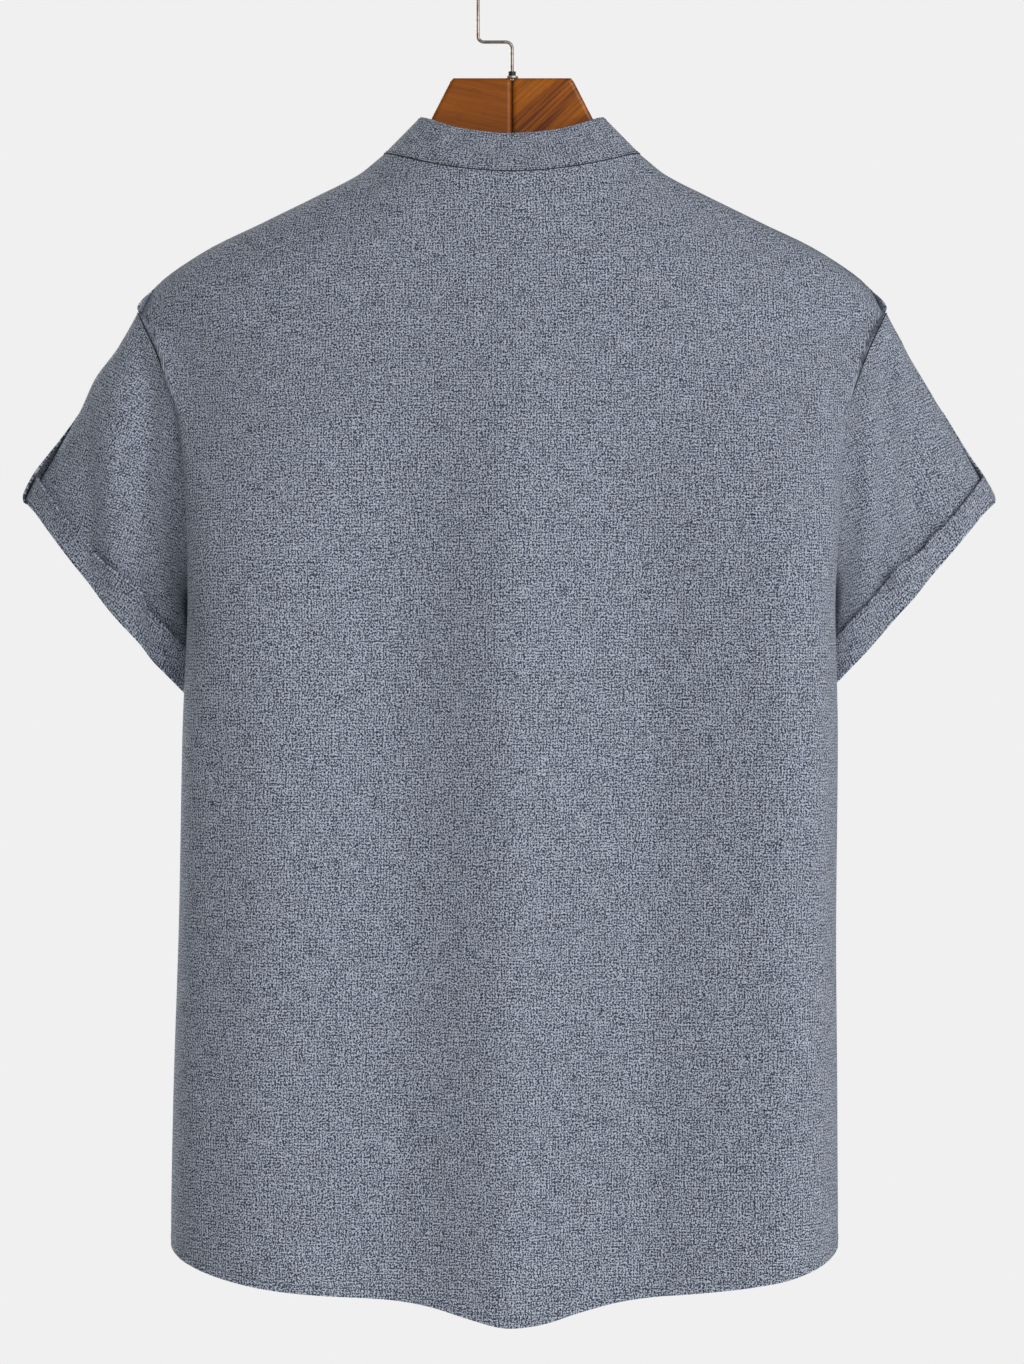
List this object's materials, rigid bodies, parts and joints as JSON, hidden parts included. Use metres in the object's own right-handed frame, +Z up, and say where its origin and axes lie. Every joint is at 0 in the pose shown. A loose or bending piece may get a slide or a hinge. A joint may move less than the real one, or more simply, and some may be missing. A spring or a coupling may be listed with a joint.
{
  "type": "mandarin collar shirt on wooden hanger",
  "caption": "Short-sleeved shirt with a stand collar, turned-up cuffs held by roll tabs and a curved hem, buttoned and hanging on a flat wooden hanger with a wire hook.",
  "frame": {"origin": "highest point inside the hanger's hook, where a rail carries it", "axes": "+Z up, -Y out of the shirt's buttoned front, +X to the wearer's left"},
  "size_m": [0.6436, 0.2191, 0.8913],
  "materials": {
    "cloth": "matt slub weave in blue-grey and off-white yarns",
    "button_plastic": "semi-gloss",
    "wood": "stained and varnished",
    "wire": "satin"
  },
  "bodies": {
    "root": {"back": "cloth", "front_left": "cloth", "front_right": "cloth", "placket": "cloth", "collar": "cloth", "sleeve_left": "cloth", "sleeve_right": "cloth", "cuff_left": "cloth", "cuff_right": "cloth", "tab_left": "cloth", "tab_right": "cloth", "tab_button_left": "button_plastic", "tab_button_right": "button_plastic", "button_1": "button_plastic", "button_2": "button_plastic", "button_3": "button_plastic", "button_4": "button_plastic", "button_5": "button_plastic", "button_6": "button_plastic", "hanger_left": "wood", "hanger_right": "wood", "hook": "wire", "hook_ferrule": "wire"}
  },
  "joints": []
}
